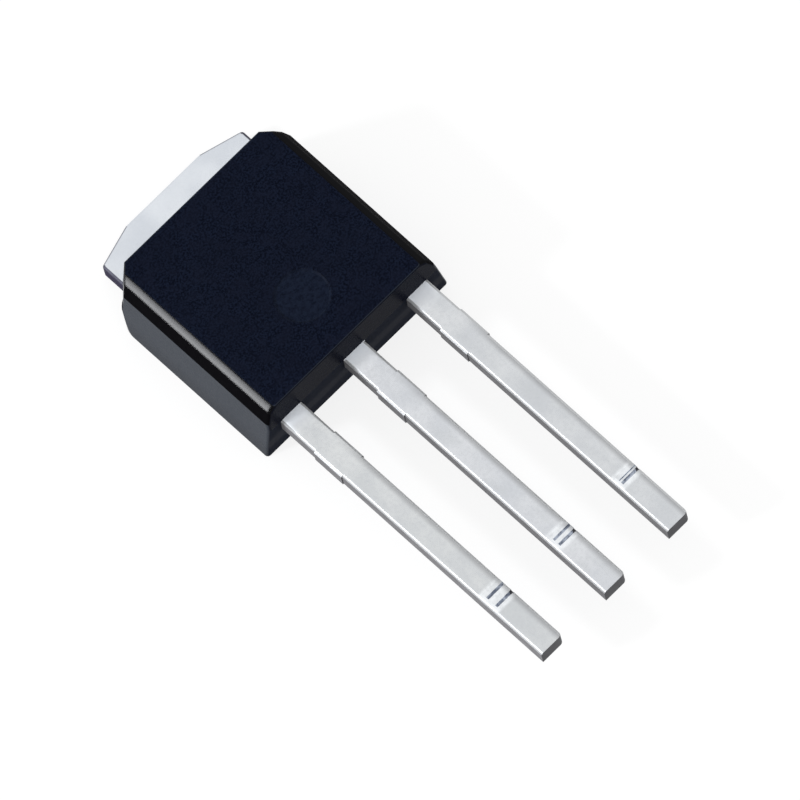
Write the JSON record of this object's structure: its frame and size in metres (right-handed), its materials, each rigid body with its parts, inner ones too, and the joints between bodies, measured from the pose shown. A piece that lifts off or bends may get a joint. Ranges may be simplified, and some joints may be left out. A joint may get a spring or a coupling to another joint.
{
  "type": "power transistor",
  "caption": "Power transistor in a flat moulded package: a metal heat tab at one end and straight flat leads at the other, to plug into a circuit board.",
  "frame": {"origin": "the middle of the back face between the two end walls, on the flush heat spreader that lies against a heat sink", "axes": "+Z out of the front face, +Y from the lead tips towards the tab, +X across the leads from gate to source"},
  "size_m": [0.0066, 0.0166, 0.0023],
  "materials": {
    "moulding": "black filled epoxy, fine spark-eroded texture",
    "tinned_frame": "copper with matte tin plating",
    "tinned_gate": "copper with matte tin plating",
    "tinned_source": "copper with matte tin plating",
    "solder": "dull solder",
    "silicon": "polished silicon",
    "bond_wire": "drawn aluminium wire"
  },
  "bodies": {
    "root": {"moulded_package": "moulding", "drain_frame": "tinned_frame", "gate_lead": "tinned_gate", "source_lead": "tinned_source", "die_attach_solder": "solder", "silicon_die": "silicon", "source_bond_wire": "bond_wire", "gate_bond_wire": "bond_wire"}
  },
  "joints": []
}
